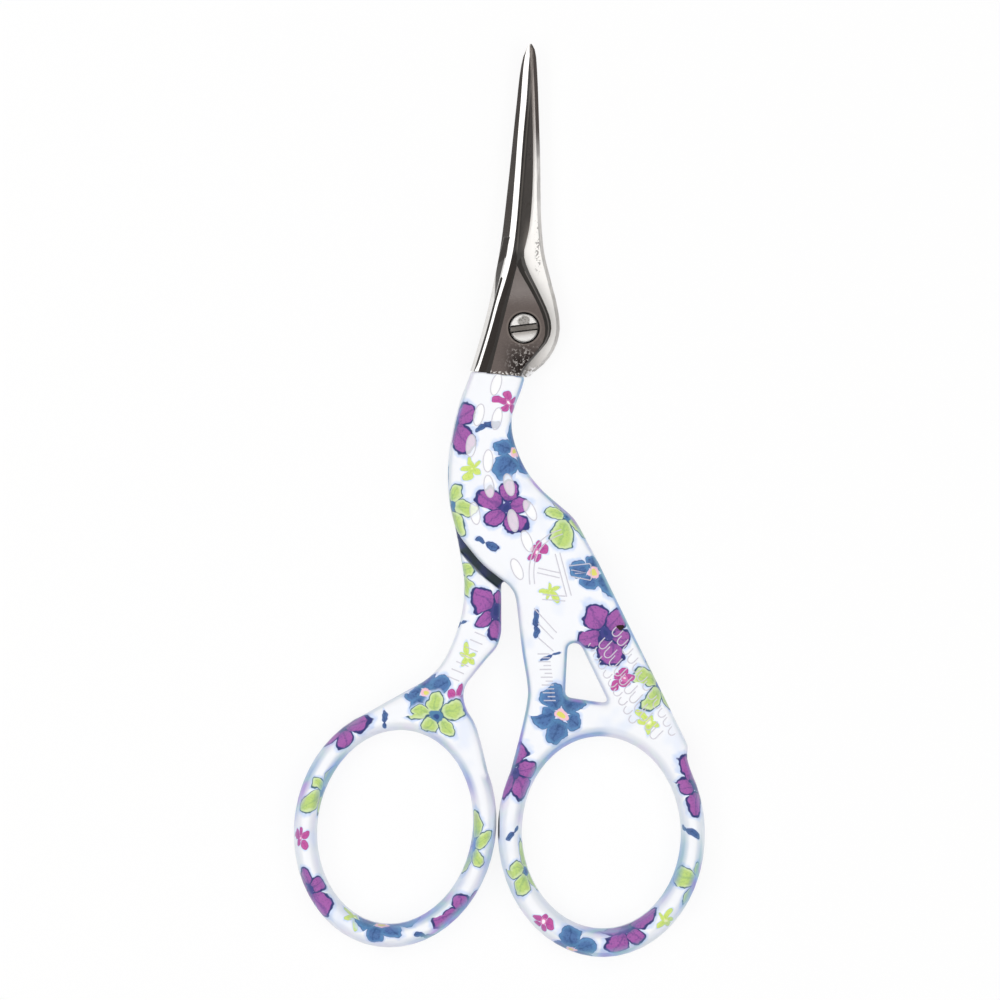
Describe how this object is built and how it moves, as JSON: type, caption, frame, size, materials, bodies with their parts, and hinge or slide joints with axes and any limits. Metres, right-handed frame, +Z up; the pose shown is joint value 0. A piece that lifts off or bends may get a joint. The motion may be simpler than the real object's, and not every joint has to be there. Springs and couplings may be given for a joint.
{
  "type": "embroidery scissors",
  "caption": "Closed embroidery scissors in the shape of a stork: bare pointed blades for the beak, a slotted pivot screw for the eye, and painted floral handles that end in finger rings.",
  "frame": {"origin": "on the pivot axis, in the plane that the closed scissors lie on, at the flush end of the pivot screw", "axes": "+Y along the blades to the tip, +Z up through the pivot screw to its head, +X to the right as the screw's head is seen"},
  "size_m": [0.0518, 0.1149, 0.0042],
  "materials": {
    "blade": "ground and polished, brighter on the facets, pitted near the paint line",
    "paint": "glossy white enamel with an all-over floral print",
    "screw": "polished, slotted"
  },
  "bodies": {
    "rear_half": {"rear_blade": "blade", "rear_handle": "paint", "pivot_screw": "screw"},
    "front_half": {"front_blade": "blade", "front_handle": "paint"}
  },
  "joints": [
    {"name": "blade_pivot", "type": "hinge", "parent": "rear_half", "child": "front_half", "pos_m": [0, 0, 0.0021], "axis": [0, 0, 1], "range_deg": [0, 120]}
  ]
}
